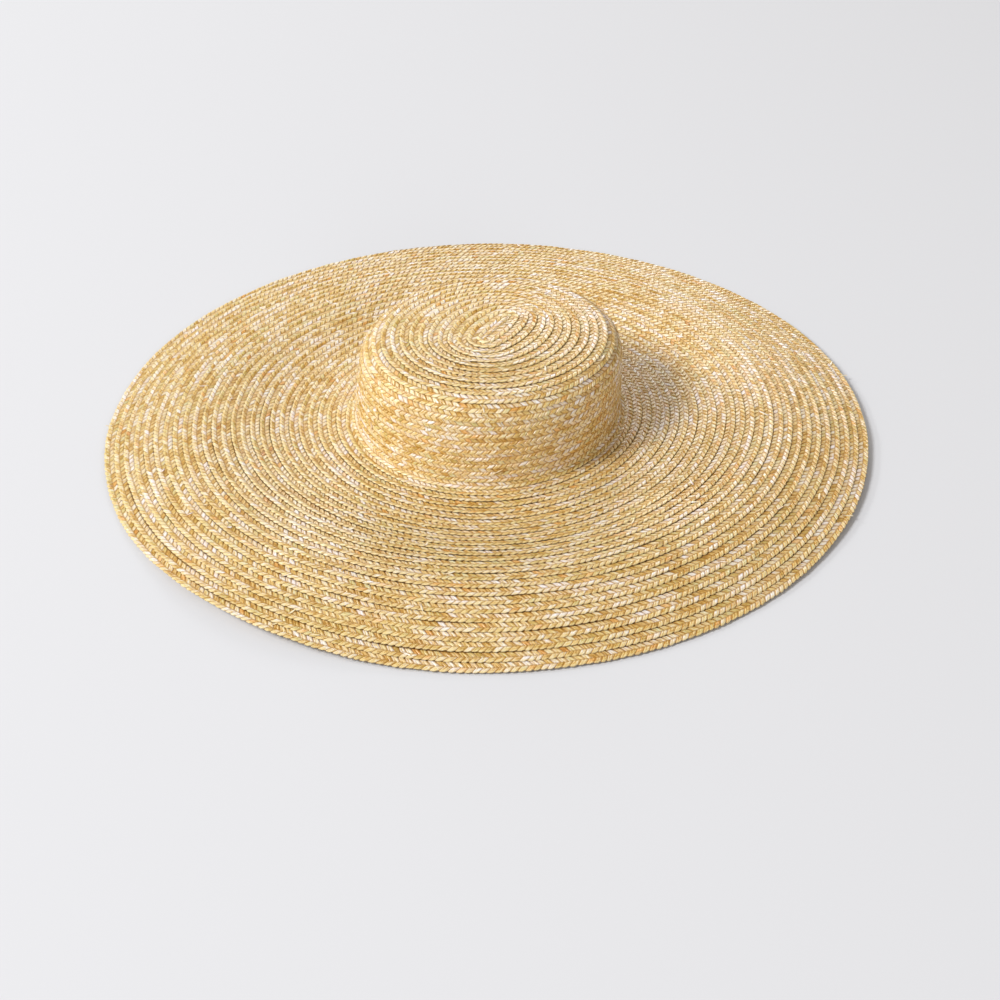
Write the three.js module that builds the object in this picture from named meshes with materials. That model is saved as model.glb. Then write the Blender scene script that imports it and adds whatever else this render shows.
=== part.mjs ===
import * as THREE from "three";

// A flat-topped hat with a very wide brim, sewn from one long flat braid of wheat straw.
// Millimetres, +Z up. The origin is the middle of the rim, on the surface that the hat rests on.
// Azimuths are degrees about +Z from +X, which is the wearer's left; -Y is the front.

const WALL = 2; // two overlapping rows of braid
const SEAM_GAP = 0.3; // between the last row of the crown and the first row of the brim

// Crown. Its profile is the middle of the wall: a slightly domed tip, a rounded shoulder,
// a side that widens downwards, and a flare that turns out into the brim.
const CROWN_CENTRE_Y = 9;
const TIP_HEIGHT = 70.6;
const TIP_RADIUS = 73;
const TIP_SAG = 2.7;
const TIP_ROUNDING = 3.5; // power of the sag: nearly flat in the middle, falling at the edge
const TIP_OVAL = 1.8; // how much longer the tip is from side to side, and shorter front to back
const TIP_SHIFT_X = 3.7; // the tip sits a little off the middle of the seam
const TIP_SHIFT_Y = -1;
const SHOULDER_RADIUS = 17;
const SHOULDER_START = 8; // degrees below level where the tip becomes the shoulder
const SIDE_SLOPE = 84.4;
const FLARE_RADIUS = 7;
const SEAM_RADIUS = 97.5;
const CROWN_SEGMENTS = 64;

// Brim. Each row is a ring of the brim, "reach" of the way from the crown seam to the rim.
// Its middle height is "height" plus a lean that peaks towards one azimuth, and three ripples.
const RIM_RADIUS = 260;
const RIM_OVAL = 3; // how much longer the rim is from side to side, and shorter front to back
const RIM_OVAL_TOWARDS = 7.5;
const SEAM_HEIGHT = 6.2;
const SEAM_LEAN = 3.1;
const SEAM_LEAN_TOWARDS = 20;
const BRIM_RINGS = [
  { name: "seam", reach: 0, height: SEAM_HEIGHT, lean: SEAM_LEAN, towards: SEAM_LEAN_TOWARDS, ripple: 0 },
  { name: "hollow", reach: 0.2, height: 5.4, lean: 3, towards: -30, ripple: 0.9 },
  { name: "crest", reach: 0.6, height: 11.3, lean: 4.8, towards: -62, ripple: 0 },
  { name: "rim", reach: 1, height: WALL / 2, lean: 0, towards: 0, ripple: 0 },
];
const RIM_LIFTS = [
  { name: "front lift", azimuth: -127, rise: 4.5, halfWidth: 30 },
  { name: "side kink", azimuth: -172, rise: 1.5, halfWidth: 14 },
  { name: "side lift", azimuth: -2, rise: 3, halfWidth: 60 },
];
const RIM_STEEPNESS = 1.4; // slope at the rim, as a share of the mean slope from crest to rim
const LIFT_POWER = 4; // how fast a lift fades from the rim inwards
const LANDING = 3; // width of the flat strip under the rim that meets the surface below
const BRIM_SEGMENTS = 72;
const BRIM_STEPS = [0, 0.05, 0.12, 0.2, 0.3, 0.4, 0.5, 0.6, 0.7, 0.8, 0.9];

const radians = THREE.MathUtils.degToRad;

function azimuths(count) {
  return Array.from({ length: count }, (_, i) => (2 * Math.PI * i) / count);
}

// The crown's profile from its centre to the seam: distance from the axis, height and slope.
function crownProfile() {
  const points = [];
  for (const part of [0, 0.35, 0.65, 0.85]) {
    const fall = (TIP_ROUNDING * TIP_SAG * part ** (TIP_ROUNDING - 1)) / TIP_RADIUS;
    points.push({
      radius: TIP_RADIUS * part,
      height: TIP_HEIGHT - TIP_SAG * part ** TIP_ROUNDING,
      slope: Math.atan(fall),
    });
  }
  const start = { radius: TIP_RADIUS, height: TIP_HEIGHT - TIP_SAG };
  const shoulder = bend(start, SHOULDER_RADIUS, SHOULDER_START, SIDE_SLOPE, 5);
  const flareRun = FLARE_RADIUS * (Math.sin(radians(SIDE_SLOPE)) - Math.sin(radians(SHOULDER_START)));
  const flareFall = FLARE_RADIUS * (Math.cos(radians(SHOULDER_START)) - Math.cos(radians(SIDE_SLOPE)));
  const sideEnd = { radius: SEAM_RADIUS - flareRun, height: SEAM_HEIGHT + flareFall };
  const flare = bend(sideEnd, FLARE_RADIUS, SIDE_SLOPE, SHOULDER_START, 3);
  return [...points, ...shoulder, ...flare];
}

// An arc of the profile that turns from one slope to another, both in degrees below level.
function bend(start, radius, from, to, steps) {
  const points = [];
  const turn = Math.sign(to - from) * radius;
  for (let i = 0; i <= steps; i += 1) {
    const slope = radians(from + ((to - from) * i) / steps);
    points.push({
      radius: start.radius + turn * (Math.sin(slope) - Math.sin(radians(from))),
      height: start.height + turn * (Math.cos(slope) - Math.cos(radians(from))),
      slope,
    });
  }
  return points;
}

// One ring of the crown, the wall's middle moved by "offset" along its outward normal. The whole
// crown leans with its seam, and grows from the seam's circle to the tip's slight oval.
function crownRing(point, offset) {
  const length = point.radius + offset * Math.sin(point.slope);
  const height = point.height + offset * Math.cos(point.slope);
  const rise = (point.height - SEAM_HEIGHT) / (TIP_HEIGHT - SEAM_HEIGHT);
  const centreX = TIP_SHIFT_X * rise;
  const centreY = CROWN_CENTRE_Y + TIP_SHIFT_Y * rise;
  const lean = SEAM_LEAN / SEAM_RADIUS;
  if (point.radius === 0) {
    return [new THREE.Vector3(centreX, centreY, height)];
  }
  return azimuths(CROWN_SEGMENTS).map((azimuth) => {
    const radius = length * (1 + (TIP_OVAL / TIP_RADIUS) * rise * Math.cos(2 * azimuth));
    return new THREE.Vector3(
      centreX + radius * Math.cos(azimuth),
      centreY + radius * Math.sin(azimuth),
      height + lean * radius * Math.cos(azimuth - radians(SEAM_LEAN_TOWARDS)),
    );
  });
}

function ringHeight(ring, azimuth) {
  const turn = azimuth - radians(ring.towards);
  return ring.height + ring.lean * Math.cos(turn) + ring.ripple * Math.cos(3 * turn);
}

// Height of the brim's middle: a smooth curve through the named rings, plus the rim's lifts.
function brimHeight(reach, azimuth) {
  const knots = BRIM_RINGS.map((ring) => ({ at: ring.reach, height: ringHeight(ring, azimuth) }));
  const secants = knots.slice(1).map((knot, i) => (knot.height - knots[i].height) / (knot.at - knots[i].at));
  const slopes = knots.map((knot, i) => {
    if (i === 0) {
      return secants[0];
    }
    if (i === secants.length) {
      return RIM_STEEPNESS * secants[i - 1];
    }
    return (secants[i - 1] + secants[i]) / 2;
  });
  const end = knots.findIndex((knot, k) => k > 0 && reach <= knot.at);
  const start = end - 1;
  const span = knots[end].at - knots[start].at;
  const part = (reach - knots[start].at) / span;
  const curve = knots[start].height * (1 + 2 * part) * (1 - part) ** 2
    + slopes[start] * span * part * (1 - part) ** 2
    + knots[end].height * part ** 2 * (3 - 2 * part)
    + slopes[end] * span * part ** 2 * (part - 1);
  return curve + rimLift(azimuth) * reach ** LIFT_POWER;
}

function rimLift(azimuth) {
  let lift = 0;
  for (const bump of RIM_LIFTS) {
    const away = Math.acos(Math.cos(azimuth - radians(bump.azimuth)));
    const part = Math.min(away / radians(bump.halfWidth), 1);
    lift += (bump.rise * (1 + Math.cos(Math.PI * part))) / 2;
  }
  return lift;
}

// A point of the brim: the rings grow from the crown seam's circle to the rim's slight oval.
function brimPoint(reach, azimuth, raise) {
  const inner = SEAM_RADIUS + SEAM_GAP;
  const outer = RIM_RADIUS + RIM_OVAL * Math.cos(2 * (azimuth - radians(RIM_OVAL_TOWARDS)));
  const radius = inner + (outer - inner) * reach;
  const centreY = CROWN_CENTRE_Y * (1 - reach);
  return new THREE.Vector3(
    radius * Math.cos(azimuth),
    centreY + radius * Math.sin(azimuth),
    brimHeight(reach, azimuth) + raise,
  );
}

function brimRing(reach, raise) {
  return azimuths(BRIM_SEGMENTS).map((azimuth) => brimPoint(reach, azimuth, raise));
}

// Skins neighbouring rings with triangles. A ring of one point is a pole.
function skin(rings, closed) {
  const positions = [];
  const starts = [];
  for (const ring of rings) {
    starts.push(positions.length / 3);
    for (const point of ring) {
      positions.push(point.x, point.y, point.z);
    }
  }
  const index = [];
  const bands = closed ? rings.length : rings.length - 1;
  for (let band = 0; band < bands; band += 1) {
    const next = (band + 1) % rings.length;
    const count = Math.max(rings[band].length, rings[next].length);
    for (let k = 0; k < count; k += 1) {
      const a = starts[band] + (k % rings[band].length);
      const b = starts[band] + ((k + 1) % rings[band].length);
      const c = starts[next] + (k % rings[next].length);
      const d = starts[next] + ((k + 1) % rings[next].length);
      if (a !== b) {
        index.push(a, c, b);
      }
      if (c !== d) {
        index.push(b, c, d);
      }
    }
  }
  const geometry = new THREE.BufferGeometry();
  geometry.setAttribute("position", new THREE.Float32BufferAttribute(positions, 3));
  geometry.setIndex(index);
  geometry.computeVertexNormals();
  return geometry;
}

function straw(color) {
  return new THREE.MeshStandardMaterial({ color, roughness: 0.55, metalness: 0 });
}

function makeCrown() {
  const profile = crownProfile();
  const outside = profile.map((point) => crownRing(point, WALL / 2));
  const inside = profile.map((point) => crownRing(point, -WALL / 2)).reverse();
  const crown = new THREE.Mesh(skin([...outside, ...inside], false), straw("#dcc083"));
  crown.name = "crown";
  return crown;
}

function makeBrim() {
  const landingReach = 1 - LANDING / (RIM_RADIUS - SEAM_RADIUS);
  const upper = [...BRIM_STEPS, 1].map((reach) => brimRing(reach, WALL / 2));
  const lower = BRIM_STEPS.map((reach) => brimRing(reach, -WALL / 2)).reverse();
  const landing = [1, landingReach].map((reach) => azimuths(BRIM_SEGMENTS).map((azimuth) => {
    const point = brimPoint(reach, azimuth, 0);
    point.z = rimLift(azimuth);
    return point;
  }));
  const brim = new THREE.Mesh(skin([...upper, ...landing, ...lower], true), straw("#dfc488"));
  brim.name = "brim";
  return brim;
}

const hat = new THREE.Group();
hat.add(makeCrown());
hat.add(makeBrim());

export default hat;
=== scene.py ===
import math
import bpy
import numpy as np
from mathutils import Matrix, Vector


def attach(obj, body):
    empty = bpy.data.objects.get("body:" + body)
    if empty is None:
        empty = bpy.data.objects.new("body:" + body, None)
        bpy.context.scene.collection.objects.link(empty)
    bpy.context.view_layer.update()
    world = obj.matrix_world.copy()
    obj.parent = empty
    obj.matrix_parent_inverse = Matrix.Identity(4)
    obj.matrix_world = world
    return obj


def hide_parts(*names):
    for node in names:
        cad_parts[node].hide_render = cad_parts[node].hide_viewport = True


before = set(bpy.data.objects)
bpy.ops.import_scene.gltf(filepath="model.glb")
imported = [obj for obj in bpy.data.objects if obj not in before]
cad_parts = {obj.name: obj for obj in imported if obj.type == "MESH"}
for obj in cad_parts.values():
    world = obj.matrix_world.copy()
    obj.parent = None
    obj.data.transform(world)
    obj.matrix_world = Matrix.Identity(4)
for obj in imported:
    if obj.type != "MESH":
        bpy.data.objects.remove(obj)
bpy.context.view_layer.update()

# Crown: the first half of the hat's one long braid of split wheat straw. It starts with a fold in
# the middle of the tip and is sewn round and round, each row under the edge of the row inside it,
# then pressed over a block: a nearly flat tip, a rounded shoulder and a side that widens downwards.
MM = 0.001
TURN = 2 * math.pi
CROWN_CENTRE_Y = 9 * MM
TIP_HEIGHT = 70.6 * MM
TIP_RADIUS = 73 * MM
TIP_SAG = 2.7 * MM
TIP_ROUNDING = 3.5  # power of the sag: nearly flat in the middle, falling at the edge
TIP_OVAL = 1.8 * MM  # how much longer the tip is from side to side
TIP_SHIFT = (3.7 * MM, -1 * MM)  # from the middle of the seam
SHOULDER_RADIUS = 17 * MM
SHOULDER_START = math.radians(8)  # below level, where the tip becomes the shoulder
SIDE_SLOPE = math.radians(84.4)
FLARE_RADIUS = 7 * MM
SEAM_RADIUS = 97.5 * MM
SEAM_HEIGHT = 6.2 * MM
SEAM_LEAN = 3.1 * MM
SEAM_LEAN_TOWARDS = math.radians(20)
CROWN_ROWS = 23.6
ROW_EASE = 0.2  # rows are wider on the tip and overlap more on the side
CROWN_TURNS = 23.14  # this part of the braid ends at the back
UNDER_BRIM = (10 * MM, -0.4 * MM)  # the last row goes on level under the brim's first row
CORE_AZIMUTH = math.radians(60)
CORE_HALF_LENGTH = 13.5 * MM
CORE_STRAIGHTNESS = 1.5  # more than 1 leaves the fold's two sides straight for a while
CORE_SHIFT = (2.8 * MM, 3.6 * MM)
CORE_REACH = 70 * MM  # the rows are round from here on


def bend(start, radius, slope_from, slope_to):
    """An arc of the profile between two slopes below level."""
    slope = np.linspace(slope_from, slope_to, 40)
    turn = math.copysign(radius, slope_to - slope_from)
    across = start[0] + turn * (np.sin(slope) - math.sin(slope_from))
    up = start[1] + turn * (np.cos(slope) - math.cos(slope_from))
    return np.column_stack([across, up])


def crown_profile():
    """Distance from the crown's axis and height, from the core to the seam."""
    across = np.linspace(0, TIP_RADIUS, 80)
    tip = np.column_stack([across, TIP_HEIGHT - TIP_SAG * (across / TIP_RADIUS) ** TIP_ROUNDING])
    shoulder = bend(tip[-1], SHOULDER_RADIUS, SHOULDER_START, SIDE_SLOPE)
    run = FLARE_RADIUS * (math.sin(SIDE_SLOPE) - math.sin(SHOULDER_START))
    fall = FLARE_RADIUS * (math.cos(SHOULDER_START) - math.cos(SIDE_SLOPE))
    flare = bend((SEAM_RADIUS - run, SEAM_HEIGHT + fall), FLARE_RADIUS, SIDE_SLOPE, SHOULDER_START)
    return np.concatenate([tip, shoulder[1:], flare])


profile = crown_profile()
profile_length = np.concatenate([[0], np.cumsum(np.hypot(*np.diff(profile, axis=0).T))])
crown_length = profile_length[-1]
profile = np.vstack([profile, profile[-1] + np.array(UNDER_BRIM)])
profile_length = np.append(profile_length, crown_length + UNDER_BRIM[0])


def smooth(part):
    part = np.clip(part, 0, 1)
    return part * part * (3 - 2 * part)


def crown_surface(row, angle):
    """Middle of the crown's wall. The rows near the core are long ovals, round it off its centre."""
    azimuth = angle + CORE_AZIMUTH
    part = np.maximum(row, 0) / CROWN_ROWS
    length = (part + ROW_EASE * part * (1 - part)) * crown_length
    near = 1 - smooth(length / CORE_REACH)
    along = CORE_HALF_LENGTH * near * np.clip(CORE_STRAIGHTNESS * np.cos(angle), -1, 1)
    x = length * np.cos(azimuth) + along * math.cos(CORE_AZIMUTH) + CORE_SHIFT[0] * near
    y = length * np.sin(azimuth) + along * math.sin(CORE_AZIMUTH) + CORE_SHIFT[1] * near
    turned = np.arctan2(y, x)
    length = np.hypot(x, y)
    radius = np.interp(length, profile_length, profile[:, 0])
    height = np.interp(length, profile_length, profile[:, 1])
    rise = np.clip((height - SEAM_HEIGHT) / (TIP_HEIGHT - SEAM_HEIGHT), 0, 1)
    radius = radius * (1 + TIP_OVAL / TIP_RADIUS * rise * np.cos(2 * turned))
    x = TIP_SHIFT[0] * rise + radius * np.cos(turned)
    y = CROWN_CENTRE_Y + TIP_SHIFT[1] * rise + radius * np.sin(turned)
    height = height + SEAM_LEAN / SEAM_RADIUS * radius * np.cos(turned - SEAM_LEAN_TOWARDS)
    return np.stack([x, y, height], -1)


# The plait, seen from above, is a row of chevrons: two arms of straws, each arm with one edge of
# every straw free and the other under its neighbour, and the two arms half a straw apart.
STITCH = 4.45 * MM  # from one straw to the next along the braid
ROW_WIDTH = 6.3 * MM  # what shows of a row on the brim
ROW_WAVER = 0.035  # slow wander of a row from its place, in rows
ROW_QUIVER = 0.02  # and the quick one
STRETCH = 0.5  # slow wander of the straws from an even pitch, in stitches
SHUFFLE = 0.22  # and the quick one
CHEVRON = 0.62  # how far the chevron's point is ahead of its arms' ends, in stitches
CHEVRON_UNDER = -0.1  # where that point is across the underside, in rows
RELIEF = 0.5 * MM  # from a straw's tucked edge to its free edge
RELIEF_VARIES = 0.35
TILT = 0.95 * MM  # rise of the braid from its inner edge to its outer edge
SLACK = 0.15 * MM  # how loosely the outer edge lies
SCALLOP = 0.12  # how far a straw's fold stands out at the edge, in rows
SCALLOP_FROM = 0.6  # rise of a straw that neither stands out nor stays in
SEAM_VARIES = 0.2  # how much of the seams' depth comes and goes along the braid
SEAM_FILL = 0.4 * MM  # how far a closed seam is filled up
SEAM_PRESSED = 0.75  # how far the seams are closed in the rows that the block presses
CLOSED_TURNS = 0.4  # the core has no seam before this turn
NARROWEST_ROW = 0.03
SAMPLES = 24000  # places at which the spiral is measured
MAP_START = 0.75  # the braid's middle in its straw map, so that nothing is below 0 there
MAP_STRIPS = 24

# The braid's section: "across" in rows and "up" in millimetres, clockwise seen from its start.
# "relief" is a point's share of its straw's relief, and "seam" is how deep in the seam it lies, which sets
# how much painted seam shade it gets.
SECTION = [
    {"across": -0.74, "up": -0.10, "relief": 0.0, "arm": 0, "seam": 1},
    {"across": -0.56, "up": -0.05, "relief": 0.3, "arm": 0, "seam": 1},
    {"across": -0.42, "up": 0.34, "relief": 0.95, "arm": 0, "seam": 0.25},
    {"across": 0.00, "up": 0.16, "relief": 0.6, "arm": 1, "seam": 0},
    {"across": 0.28, "up": 0.38, "relief": 1.0, "arm": 1, "seam": 0},
    {"across": 0.46, "up": 0.30, "relief": 0.9, "arm": 1, "seam": 0.1},
    {"across": 0.51, "up": 0.05, "relief": 0.2, "arm": 2, "seam": 0.7},
    {"across": 0.45, "up": -0.22, "relief": -0.3, "arm": 2, "seam": 1},
    {"across": 0.15, "up": -0.38, "relief": -1.0, "arm": 2, "seam": 0.3},
    {"across": -0.10, "up": -0.30, "relief": -0.7, "arm": 3, "seam": 0},
    {"across": -0.36, "up": -0.38, "relief": -1.0, "arm": 3, "seam": 0},
    {"across": -0.64, "up": -0.36, "relief": -0.7, "arm": 3, "seam": 0.6},
]

# One straw along the braid: how raised its inner and its outer arm are at four places.
STRAW = [
    {"along": 0.00, "inner": 0.00, "outer": 0.95},
    {"along": 0.11, "inner": 0.85, "outer": 0.80},
    {"along": 0.50, "inner": 0.95, "outer": 0.00},
    {"along": 0.61, "inner": 0.80, "outer": 0.85},
]

# A straw's place on the tone and tint ramps, which differs from straw to straw and drifts along
# the braid. Pale straws come in runs, and a few straws by themselves are orange.
TONE_MIDDLE = 0.45
TONE_EACH = 0.29
TONE_DRIFT = 0.08
TONE_PALE = 0.15
TINT_MIDDLE = 0.36
TINT_EACH = 0.24
TINT_DRIFT = 0.1
TINT_PALE = 0.72
TINT_ORANGE = 0.95
PALE_STRENGTH = 0.7
ORANGE_ABOVE = 0.96


def drift(place, length, seed):
    """Smooth variation along the braid, from -1 to 1. Places and lengths are in stitches."""
    count = 20000
    knots = np.random.default_rng(seed).uniform(-1, 1, count)
    low = np.floor(place / length).astype(int)
    part = smooth(place / length - low)
    return knots[low % count] * (1 - part) + knots[(low + 1) % count] * part


def course(angle, across, rim_row):
    """Row at a place on the braid, which runs from -0.5 at its inner edge to 0.5 at its outer edge."""
    inner = np.maximum(angle / TURN - 0.5, 0)
    outer = angle / TURN + 0.5
    if rim_row:
        outer = np.maximum(np.minimum(outer, rim_row(angle)), inner + NARROWEST_ROW)
    return inner + (across + 0.5) * (outer - inner)


def lay(surface, first, last, rim_row=None, pressed_rows=None):
    """A length of braid along the spiral from one angle to another, measured in stitches."""
    angle = np.linspace(first, last, SAMPLES)
    middle = surface(course(angle, 0 * angle, rim_row), angle)
    length = np.concatenate([[0], np.cumsum(np.linalg.norm(np.diff(middle, axis=0), axis=1))])
    stitches = int(length[-1] / STITCH)
    return {
        "surface": surface,
        "rim_row": rim_row,
        "pressed_rows": pressed_rows,
        "angle": angle,
        "place": length / length[-1] * stitches,
        "stitches": stitches,
    }


def on_braid(laid, place, across, lift):
    """Points on a laid braid, lifted along the hat's outward normal."""
    surface = laid["surface"]
    angle = np.interp(place, laid["place"], laid["angle"])
    row = course(angle, across, laid["rim_row"])
    row = row + ROW_WAVER * drift(place, 11, 1) + ROW_QUIVER * drift(place, 3, 2)
    step = 1e-3
    by_row = surface(row + step, angle) - surface(row - step, angle)
    by_angle = surface(row, angle + step) - surface(row, angle - step)
    normal = np.cross(by_row, by_angle)
    size = np.linalg.norm(normal, axis=-1, keepdims=True)
    flat = size < 1e-12  # at the fold in the core
    normal = np.where(flat, [0.0, 0.0, 1.0], normal / np.where(flat, 1.0, size))
    return surface(row, angle) + normal * lift[..., None]


def tube_quads(columns, ring):
    """Faces between the rings of a tube, outward for rings that run clockwise seen from its start."""
    column = np.repeat(np.arange(columns - 1), ring)
    point = np.tile(np.arange(ring), columns - 1)
    a = column * ring + point
    b = column * ring + (point + 1) % ring
    return np.stack([a, b, b + ring, a + ring], -1)


def tube_ends(columns, ring):
    """The two faces that close a tube."""
    last = columns * ring
    return [list(range(ring - 1, -1, -1)), list(range(last - ring, last))]


def add_piece(name, points, faces, face_values, gap, maps):
    """A mesh object with the values and maps that its material reads."""
    mesh = bpy.data.meshes.new(name)
    mesh.from_pydata(points.tolist(), [], faces)
    for title, values in face_values.items():
        layer = mesh.attributes.new(title, "FLOAT", "FACE")
        layer.data.foreach_set("value", np.asarray(values, dtype=np.float32))
    # The point value "gap" is how much painted seam shade the material puts on the braid there.
    layer = mesh.attributes.new("gap", "FLOAT", "POINT")
    layer.data.foreach_set("value", np.asarray(gap, dtype=np.float32))
    for title, corners in maps.items():
        layer = mesh.uv_layers.new(name=title)
        layer.data.foreach_set("uv", np.asarray(corners, dtype=np.float32).ravel())
    piece = bpy.data.objects.new(name, mesh)
    bpy.context.scene.collection.objects.link(piece)
    return piece


def plait(name, laid, first, last):
    """One closed length of braid between two stitches, with a tone and a tint for each straw."""
    number = np.arange(first, last)
    stitch = (number[:, None] + [straw["along"] for straw in STRAW]).ravel()
    stitch = np.append(stitch, last)
    inner = np.append(np.tile([straw["inner"] for straw in STRAW], last - first), STRAW[0]["inner"])
    outer = np.append(np.tile([straw["outer"] for straw in STRAW], last - first), STRAW[0]["outer"])
    across = np.array([point["across"] for point in SECTION])
    up = np.array([point["up"] for point in SECTION]) * MM
    relief = np.array([point["relief"] for point in SECTION])
    arm = np.array([point["arm"] for point in SECTION])
    seam = np.array([point["seam"] for point in SECTION])

    # Places along the braid: the chevron's point is ahead of its arms, and the straws wander.
    centre = np.where(up < 0, CHEVRON_UNDER, 0)
    ahead = CHEVRON * (1 - np.abs(across - centre) / 0.5)
    place = stitch[:, None] + ahead[None, :]
    place = place + STRETCH * drift(place, 14, 9) + SHUFFLE * drift(place, 2.2, 15)
    place = np.clip(place, 0, laid["stitches"])

    # How raised each point's straw is. In the middle, the two arms meet and count half each.
    on_outer = ((np.sign(across) + 1) / 2)[None, :]
    rise = inner[:, None] * (1 - on_outer) + outer[:, None] * on_outer
    rise = rise * (1 + RELIEF_VARIES * drift(stitch[:, None] + 400 * on_outer, 1.5, 14))
    at_edge = np.abs(relief) < 0.25
    fold = np.where(at_edge, np.sign(across), 0)[None, :] * SCALLOP * (rise - SCALLOP_FROM)
    slack = SLACK * drift(stitch, 2.5, 3)[:, None] * (across + 0.6)[None, :]

    # How open the seam is, from 0 to 1, and the height of each point over the wall's middle.
    turns = np.interp(stitch, laid["place"], laid["angle"]) / TURN
    gap = (1 - SEAM_VARIES + SEAM_VARIES * drift(stitch, 9, 12)) * smooth(turns - CLOSED_TURNS)
    if laid["pressed_rows"]:
        since = smooth((turns - laid["pressed_rows"][0]) / 2)
        gap = gap * (1 - SEAM_PRESSED * since * smooth((laid["pressed_rows"][1] - turns) / 2))
    filled = SEAM_FILL * (1 - gap)[:, None] * ((across < -0.5) & (up > -0.2 * MM))[None, :]
    lift = TILT * across[None, :] * (0.5 + 0.5 * gap)[:, None] + up[None, :] + filled
    lift = lift + relief[None, :] * rise * RELIEF + slack
    points = on_braid(laid, place, across[None, :] + fold, lift).reshape(-1, 3)

    columns = len(stitch)
    ring = len(SECTION)
    faces = tube_quads(columns, ring).tolist() + tube_ends(columns, ring)
    column = np.repeat(np.arange(columns - 1), ring)
    point = np.tile(np.arange(ring), columns - 1)
    after = (point + 1) % ring

    # The straw that each face belongs to. The outer arm's straws start half a stitch later.
    straw = number[column // len(STRAW)] + 0.0
    late = np.isin(column % len(STRAW), (2, 3))
    straw = straw + np.where(arm[point] % 3 == 0, 0, np.where(late, 0.5, -0.5))
    key = (straw * 8 + arm[point] * 2 + 16).astype(int)
    sort = np.random.default_rng(6).uniform(-1, 1, (3, (laid["stitches"] + 8) * 8))  # three a straw
    pale = smooth((drift(straw + 900 * arm[point], 5, 4) - 0.25) / 0.3)
    tone = TONE_MIDDLE + TONE_DRIFT * drift(straw, 12, 5) + TONE_PALE * pale + TONE_EACH * sort[0][key]
    tone = np.clip(tone, 0, 1)
    tint = TINT_MIDDLE + TINT_EACH * sort[1][key] + TINT_DRIFT * drift(straw, 9, 7)
    tint = tint * (1 - PALE_STRENGTH * pale) + TINT_PALE * PALE_STRENGTH * pale
    tint = np.where(sort[2][key] > ORANGE_ABOVE, TINT_ORANGE, tint)
    face_values = {"tone": np.append(tone, [0.5, 0.5]), "tint": np.append(tint, [0.5, 0.5])}

    # One map follows each straw: x across it, y along it, four for each straw and MAP_START at the
    # braid's middle. The other lays the braid in strips.
    corner_stitch = np.stack([stitch[column], stitch[column], stitch[column + 1], stitch[column + 1]], -1)
    edge = np.append(across, across[0])
    corner_across = np.stack([edge[point], edge[after], edge[after], edge[point]], -1)
    over = np.stack([corner_stitch - straw[:, None], straw[:, None] * 4 + corner_across + MAP_START], -1)
    long = math.ceil((columns - 1) / MAP_STRIPS)
    x = (column % long)[:, None] + np.array([0, 0, 1, 1])
    y = point[:, None] + np.array([0, 1, 1, 0])
    strip = (column // long)[:, None]
    flat = np.stack([0.01 + 0.97 * x / long, (strip + 0.04 + 0.92 * y / ring) / MAP_STRIPS], -1)
    corner = np.zeros((2 * ring, 2)) + np.array([0.99, 0.5])
    maps = {
        "straw": np.vstack([over.reshape(-1, 2), corner]),
        "OFBake": np.vstack([flat.reshape(-1, 2), corner]),
    }
    # Each point's painted seam shade: how open the seam is there, times how deep in the seam the point
    # lies.
    return add_piece(name, points, faces, face_values, np.outer(gap, seam).ravel(), maps)


def from_hex(code):
    """An sRGB hex colour as linear values."""
    parts = [int(code[i : i + 2], 16) / 255 for i in (1, 3, 5)]
    return [p / 12.92 if p <= 0.04045 else ((p + 0.055) / 1.055) ** 2.4 for p in parts] + [1]


def add_node(tree, kind, sockets, stops=(), **settings):
    """Outputs of a new node with its settings, its socket values or links, and its ramp's stops."""
    node = tree.nodes.new("ShaderNode" + kind)
    for key, value in settings.items():
        setattr(node, key, value)
    for key, value in sockets.items():
        if isinstance(value, bpy.types.NodeSocket):
            tree.links.new(value, node.inputs[key])
        else:
            node.inputs[key].default_value = value
    for position, _ in stops[1:-1]:
        node.color_ramp.elements.new(position)
    for k, (position, code) in enumerate(stops):
        node.color_ramp.elements[k].position = position
        node.color_ramp.elements[k].color = from_hex(code)
    return node.outputs


# Real fibres are a few hundredths of a millimetre apart, so these are drawn coarser, to show.
STREAK = 0.35  # how far the fibres go from their straw's tone
FIBRE_WIDTH = 1.1 * MM
FIBRE_LENGTH = 2.4 * MM
FIBRE_RELIEF = 0.25 * MM
STRAW_TONES = [(0.0, "#b98c3e"), (0.22, "#dcb56c"), (0.5, "#efd8a2"), (0.75, "#f7ecd6"), (1.0, "#ffffff")]
STRAW_TINTS = [(0.0, "#dfe3bd"), (0.3, "#fff6d9"), (0.55, "#ffffff"), (0.8, "#fdf0f4"), (0.95, "#ffe0b6")]
FOLD_YELLOW_AND_HIGHLIGHT = "#fbe8a8"
TUCKED_SHADE_BROWN = "#a06d1b"
SEAM_SHADE_BROWN = "#7a480c"
STRAW_ROUGHNESS = 0.27
SEAM_ROUGHNESS = 0.85
STRAW_SPECULAR = 0.65  # a little over the usual 0.5, for the waxy skin


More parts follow.
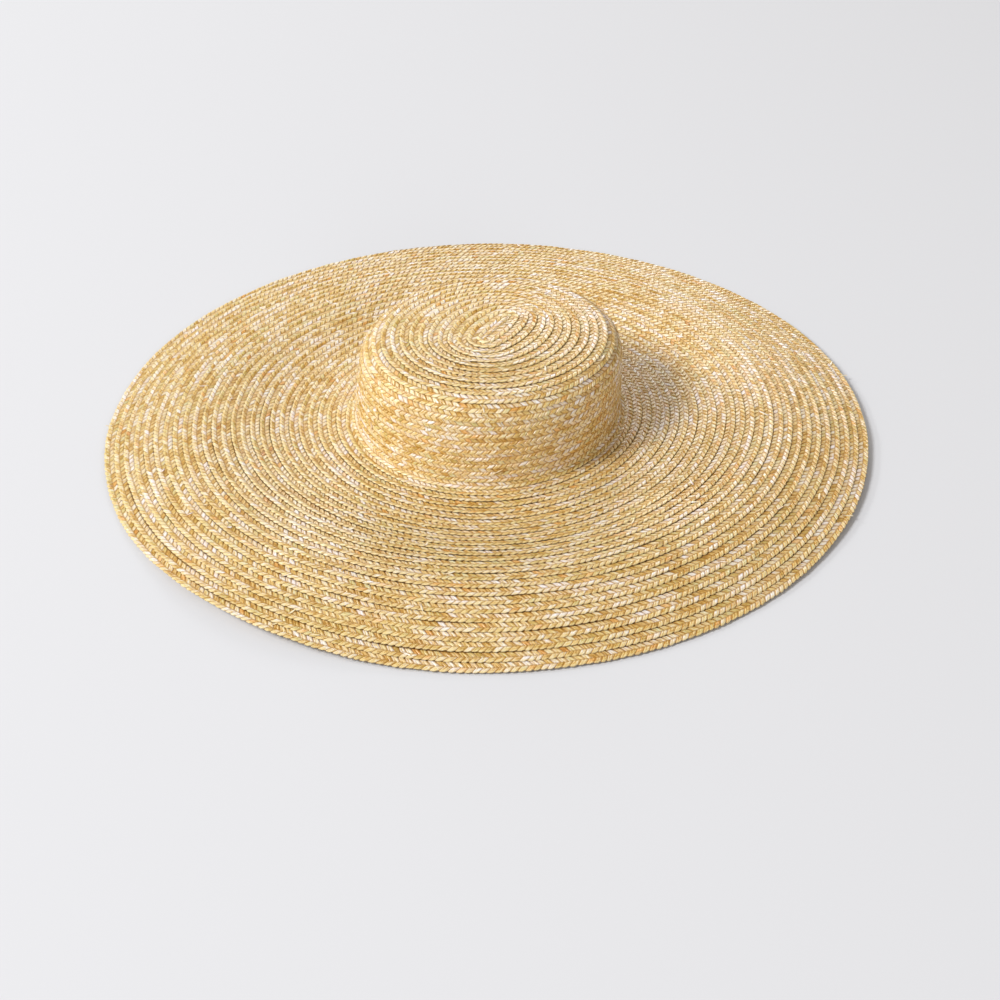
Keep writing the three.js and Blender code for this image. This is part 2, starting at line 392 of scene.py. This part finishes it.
def straw_material():
    """Wheat straw, split, flattened and plaited. Its waxy skin is glossy, and each straw has its own
    tone, from gold to nearly white, with fine fibres along it. The crossings, the tucked edges and the
    seams between the rows are darkened with painted brown shade, and the fold along the outer edge is
    a paler yellow, partly a painted highlight."""
    material = bpy.data.materials.new("wheat_straw")
    material.use_nodes = True
    tree = material.node_tree
    shader = tree.nodes["Principled BSDF"]
    tone = add_node(tree, "Attribute", {}, attribute_name="tone")
    tint = add_node(tree, "Attribute", {}, attribute_name="tint")
    gap = add_node(tree, "Attribute", {}, attribute_name="gap")
    straw_map = add_node(tree, "UVMap", {}, uv_map="straw")[0]
    place = add_node(tree, "SeparateXYZ", {0: straw_map})
    across = add_node(tree, "Math", {0: place["Y"], 1: 2.0}, operation="MODULO")[0]
    border = add_node(tree, "Math", {0: place["X"], 1: 0.5}, operation="PINGPONG")[0]

    # The straw's own tone with its fibres, times its tint.
    fibre_scale = (STITCH / FIBRE_WIDTH, ROW_WIDTH / FIBRE_LENGTH, 1.0)
    fine = add_node(tree, "VectorMath", {0: straw_map, 1: fibre_scale}, operation="MULTIPLY")[0]
    fibre = add_node(tree, "TexNoise", {"Vector": fine, "Scale": 1.0, "Detail": 2.0})[0]
    streak = add_node(tree, "MapRange", {0: fibre, 1: 0.3, 2: 0.7, 3: -STREAK, 4: STREAK})[0]
    level = add_node(tree, "Math", {0: tone["Fac"], 1: streak}, operation="ADD")[0]
    colour = add_node(tree, "ValToRGB", {0: level}, stops=STRAW_TONES)[0]
    cast = add_node(tree, "ValToRGB", {0: tint["Fac"]}, stops=STRAW_TINTS)[0]
    colour = add_node(tree, "Mix", {0: 1.0, 6: colour, 7: cast}, data_type="RGBA", blend_type="MULTIPLY")[2]

    # A paler yellow fold along the outer edge, partly the straw's own colour and partly a painted highlight
    # where the fold catches the light.
    near_edge = {0: across, 1: MAP_START + 0.3, 2: MAP_START + 0.44, 3: 0.0, 4: 0.6}
    fold = add_node(tree, "MapRange", near_edge)[0]
    colour = add_node(tree, "Mix", {0: fold, 6: colour, 7: from_hex(FOLD_YELLOW_AND_HIGHLIGHT)}, data_type="RGBA")[2]

    # Painted shade, brown, where a straw goes under the next one or crosses the braid's middle.
    notch = add_node(tree, "MapRange", {0: border, 1: 0.4, 2: 0.1, 3: 0.55, 4: 1.0})[0]
    middle = add_node(tree, "Math", {0: across, 1: MAP_START}, operation="SUBTRACT")[0]
    off_middle = add_node(tree, "Math", {0: middle}, operation="ABSOLUTE")[0]
    cross = add_node(tree, "MapRange", {0: off_middle, 1: 0.12, 2: 0.03, 3: 0.0, 4: 0.8})[0]
    crossing = add_node(tree, "Math", {0: cross, 1: notch}, operation="MULTIPLY")[0]
    edge = add_node(tree, "MapRange", {0: border, 1: 0.15, 2: 0.02, 3: 0.0, 4: 0.85})[0]
    tucked_shade = add_node(tree, "Math", {0: edge, 1: crossing}, operation="MAXIMUM")[0]
    colour = add_node(tree, "Mix", {0: tucked_shade, 6: colour, 7: from_hex(TUCKED_SHADE_BROWN)}, data_type="RGBA")[2]

    # Painted shade in the seams between the rows, brown and darkest in the notches.
    shade = add_node(tree, "Math", {0: gap["Fac"], 1: notch}, operation="MULTIPLY")[0]
    colour = add_node(tree, "Mix", {0: shade, 6: colour, 7: from_hex(SEAM_SHADE_BROWN)}, data_type="RGBA")[2]
    rough = add_node(tree, "MapRange", {0: shade, 3: STRAW_ROUGHNESS, 4: SEAM_ROUGHNESS})[0]

    # Fine ridges along each straw.
    ridges = add_node(tree, "Math", {0: place["X"], 1: 0.25}, operation="PINGPONG")[0]
    height = add_node(tree, "Math", {0: ridges, 1: 3.0, 2: fibre}, operation="MULTIPLY_ADD")[0]
    bump = add_node(tree, "Bump", {"Height": height, "Strength": 0.9, "Distance": FIBRE_RELIEF})[0]
    tree.links.new(colour, shader.inputs["Base Color"])
    tree.links.new(bump, shader.inputs["Normal"])
    tree.links.new(rough, shader.inputs["Roughness"])
    shader.inputs["Specular IOR Level"].default_value = STRAW_SPECULAR
    return material


wheat_straw = straw_material()


def dress(piece, node):
    """Gives a piece the straw material and the body that it rides on, and hides the CAD node that it stands
    for.
    """
    piece.data.materials.append(wheat_straw)
    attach(piece, "root")
    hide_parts(node)


crown_end = TURN * CROWN_TURNS
crown_laid = lay(crown_surface, -TURN / 2, crown_end, pressed_rows=(13, 23))
for k in range(2):
    crown_cuts = [crown_laid["stitches"] * n // 2 for n in (k, k + 1)]
    crown_rows = plait("crown_rows_" + str(k + 1), crown_laid, *crown_cuts)
    dress(crown_rows, "crown")

# Brim: the second half of the same braid of wheat straw, sewn on in wider and wider turns. It dips
# round the crown, rises to a crest and falls to the rim that it rests on, bent up a little in
# three places.
RIM_RADIUS = 260 * MM
RIM_OVAL = 3 * MM  # how much longer the rim is from side to side, and shorter front to back
RIM_OVAL_TOWARDS = math.radians(7.5)

# Rings of the brim, each "reach" of the way out, and the lifts of the rim, in millimetres and
# degrees. A ring's height has a lean that peaks towards one azimuth, and three ripples.
BRIM_RINGS = [
    {"reach": 0, "height": 6.2, "lean": 3.1, "towards": 20, "ripple": 0},
    {"reach": 0.2, "height": 5.4, "lean": 3, "towards": -30, "ripple": 0.9},
    {"reach": 0.6, "height": 11.3, "lean": 4.8, "towards": -62, "ripple": 0},
    {"reach": 1, "height": 1, "lean": 0, "towards": 0, "ripple": 0},
]
RIM_LIFTS = [
    {"azimuth": -127, "rise": 4.5, "half_width": 30},
    {"azimuth": -172, "rise": 1.5, "half_width": 14},
    {"azimuth": -2, "rise": 3, "half_width": 60},
]
LIFT_POWER = 4  # how fast a lift fades from the rim inwards
RIM_STEEPNESS = 1.4  # slope at the rim, as a share of the mean slope from crest to rim
ALL_ROWS = 49.64  # the braid ends at the back
END_ANGLE = TURN * (ALL_ROWS - 0.5)
END_TAPER = 0.12  # share of a turn over which the braid's end is turned in under the rim


def rim_lift(azimuth):
    """How far the rim is bent up at an azimuth."""
    lift = 0
    for bump in RIM_LIFTS:
        away = np.arccos(np.cos(azimuth - math.radians(bump["azimuth"])))
        part = np.minimum(away / math.radians(bump["half_width"]), 1)
        lift = lift + bump["rise"] * MM * (1 + np.cos(np.pi * part)) / 2
    return lift


def brim_height(reach, azimuth):
    """A smooth curve through the brim's rings, and the rim's lifts."""
    at = [ring["reach"] for ring in BRIM_RINGS]
    high = []
    for ring in BRIM_RINGS:
        turn = azimuth - math.radians(ring["towards"])
        high.append(MM * (ring["height"] + ring["lean"] * np.cos(turn) + ring["ripple"] * np.cos(3 * turn)))
    secants = [(high[i + 1] - high[i]) / (at[i + 1] - at[i]) for i in range(3)]
    slopes = [secants[0], (secants[0] + secants[1]) / 2, (secants[1] + secants[2]) / 2]
    slopes.append(RIM_STEEPNESS * secants[2])
    height = 0
    for i in range(3):
        span = at[i + 1] - at[i]
        part = (reach - at[i]) / span
        curve = (
            high[i] * (1 + 2 * part) * (1 - part) ** 2
            + slopes[i] * span * part * (1 - part) ** 2
            + high[i + 1] * part**2 * (3 - 2 * part)
            + slopes[i + 1] * span * part**2 * (part - 1)
        )
        inside = (reach >= at[i]) & ((reach < at[i + 1]) | (i == 2))
        height = height + np.where(inside, curve, 0)
    return height + rim_lift(azimuth) * reach**LIFT_POWER


def rim_row(angle):
    """Rows out to the rim: one more over each turn, and back to one less along the braid's end."""
    turn = ((angle - END_ANGLE) / TURN) % 1
    return ALL_ROWS - 1 + np.minimum(turn, (1 - turn) * (1 - END_TAPER) / END_TAPER)


def brim_surface(row, angle):
    """Middle of the brim's wall."""
    azimuth = angle + CORE_AZIMUTH
    reach = np.clip((row - CROWN_ROWS) / (rim_row(angle) - CROWN_ROWS), 0, 1.02)
    rim = RIM_RADIUS + RIM_OVAL * np.cos(2 * (azimuth - RIM_OVAL_TOWARDS))
    radius = SEAM_RADIUS + (rim - SEAM_RADIUS) * reach
    y = CROWN_CENTRE_Y * (1 - reach) + radius * np.sin(azimuth)
    on_brim = np.stack([radius * np.cos(azimuth), y, brim_height(reach, azimuth)], -1)
    return np.where((row < CROWN_ROWS)[..., None], crown_surface(row, angle), on_brim)


brim_start = crown_end - STITCH / SEAM_RADIUS  # one stitch back, so that the two lengths overlap
brim_laid = lay(brim_surface, brim_start, END_ANGLE, rim_row)
for k in range(4):
    brim_cuts = [brim_laid["stitches"] * n // 4 for n in (k, k + 1)]
    brim_rows = plait("brim_rows_" + str(k + 1), brim_laid, *brim_cuts)
    dress(brim_rows, "brim")

# Loose straw ends: where a new straw was laid into the plait its end stands out, a flat sliver a
# few millimetres long that curls off the rows. They are part of the braid and fixed by it.
SLIVER_WIDTH = 1.3 * MM
SLIVER_THICKNESS = 0.4 * MM
SLIVER_ROOT = 0.8 * MM  # height of its fixed end over the middle of the wall
SLIVER_PLACES = (-0.35, 0.42)  # across the braid
SLIVER_LENGTHS = (3, 8)  # shortest and longest, in millimetres
SLIVER_RISES = (0.3, 2.0)  # lowest and highest free end over the fixed one, in millimetres
SLIVER_TURNS = (-1.2, 1.9)  # away from the braid's direction, in radians
SLIVER_COLUMNS = 6
SLIVER_RING = 6
END_MARGIN = 20  # no loose ends this near the ends of a length of braid, in stitches


def slivers(name, laid, count, seed):
    """Short flat tubes, each narrowing towards its raised end."""
    sort = np.random.default_rng(seed)
    place = sort.uniform(END_MARGIN, laid["stitches"] - END_MARGIN, count)[:, None]
    across = sort.uniform(*SLIVER_PLACES, count)[:, None]
    length = sort.uniform(*SLIVER_LENGTHS, count)[:, None] * MM
    turn = sort.uniform(*SLIVER_TURNS, count)[:, None]
    rise = sort.uniform(*SLIVER_RISES, count)[:, None] * MM
    part = np.linspace(0, 1, SLIVER_COLUMNS)[None, :]
    run = part * length
    lift = SLIVER_ROOT + rise * part**2
    sideways = run * np.sin(turn) / ROW_WIDTH
    path = on_braid(laid, place + run * np.cos(turn) / STITCH, across + sideways, lift)
    ahead = np.gradient(path, axis=1)
    ahead /= np.linalg.norm(ahead, axis=-1, keepdims=True)
    side = np.cross(ahead, [0, 0, 1.0])
    side /= np.linalg.norm(side, axis=-1, keepdims=True)
    top = np.cross(side, ahead)
    round_it = -TURN * np.arange(SLIVER_RING)[:, None] / SLIVER_RING
    taper = (1 - 0.5 * part**3)[..., None, None] / 2
    wide = side[:, :, None] * taper * SLIVER_WIDTH * np.cos(round_it)
    thick = top[:, :, None] * taper * SLIVER_THICKNESS * np.sin(round_it)
    points = (path[:, :, None] + wide + thick).reshape(-1, 3)

    size = SLIVER_COLUMNS * SLIVER_RING
    quads = tube_quads(SLIVER_COLUMNS, SLIVER_RING)
    ends = np.array(tube_ends(SLIVER_COLUMNS, SLIVER_RING))
    column = (quads // SLIVER_RING).ravel()
    point = (np.tile(np.arange(SLIVER_RING), SLIVER_COLUMNS - 1)[:, None] + [0, 1, 1, 0]).ravel()
    along = np.append(column / SLIVER_COLUMNS, np.full(ends.size, 0.95))
    around = np.append(point / (SLIVER_RING + 1), np.full(ends.size, 0.95))
    faces = []
    over = []
    flat = []
    cells = math.ceil(math.sqrt(count))
    for k in range(count):
        faces += (quads + k * size).tolist() + (ends + k * size).tolist()
        over.append(np.stack([0.2 + 0.7 * around, 4 * k + MAP_START + 0.3 * along], -1))
        flat.append(np.stack([(k % cells + along) / cells, (k // cells + around) / cells], -1))
    maps = {"straw": np.concatenate(over), "OFBake": np.concatenate(flat)}
    each = len(quads) + len(ends)
    face_values = {
        "tone": np.repeat(sort.uniform(0.55, 0.95, count), each),
        "tint": np.repeat(sort.uniform(0.2, 0.8, count), each),
    }
    return add_piece(name, points, faces, face_values, np.zeros(len(points)), maps)


crown_slivers = slivers("crown_loose_ends", crown_laid, 36, 21)
dress(crown_slivers, "crown")
brim_slivers = slivers("brim_loose_ends", brim_laid, 96, 22)
dress(brim_slivers, "brim")

# Studio: a plain pale floor of matt paper that runs out of sight behind the hat, a large lamp high
# at the left and a little in front, three weaker panels at the left, the front and the back, and
# an even pale light from all round.
FLOOR_SIZE = 24
bpy.ops.object.select_all(action="DESELECT")
bpy.ops.mesh.primitive_plane_add(size=FLOOR_SIZE)
floor = bpy.context.object
floor.name = "floor"
paper = bpy.data.materials.new("matt_paper")
paper.use_nodes = True
paper.node_tree.nodes["Principled BSDF"].inputs["Base Color"].default_value = from_hex("#dbdde2")
paper.node_tree.nodes["Principled BSDF"].inputs["Roughness"].default_value = 0.9
floor.data.materials.append(paper)

world = bpy.data.worlds.new("studio")
bpy.context.scene.world = world
world.use_nodes = True
world.node_tree.nodes["Background"].inputs["Color"].default_value = from_hex("#fff8f0")
world.node_tree.nodes["Background"].inputs["Strength"].default_value = 0.425
bpy.context.scene.view_settings.view_transform = "Standard"


def lamp(name, place, target, size, power):
    bpy.ops.object.light_add(type="AREA", location=place)
    light = bpy.context.object
    light.name = name
    light.data.shape = "DISK"
    light.data.size = size
    light.data.energy = power
    light.rotation_euler = (Vector(target) - Vector(place)).to_track_quat("-Z", "Y").to_euler()


lamp("key", (-4.68, -1.8, 4.86), (0, 0, 0), 2.1, 350)
lamp("side_panel", (-5.1, 1.4, 2.9), (0, 0, 0), 0.7, 80)
lamp("front_panel", (1.2, -5.6, 1.7), (0, 0, 0), 2.0, 60)
lamp("back_panel", (0.0, 5.2, 1.9), (0, 0, 0), 1.8, 50)

# The camera stands where the rim's outline in the photo puts it.
camera = bpy.data.objects.new("camera", bpy.data.cameras.new("camera"))
bpy.context.scene.collection.objects.link(camera)
camera.location = (0, -0.98950, 0.67889)
camera.rotation_euler = (math.radians(52.98), 0, math.radians(-0.5239))
camera.data.lens = 61.596
camera.data.sensor_width = 36
bpy.context.scene.camera = camera
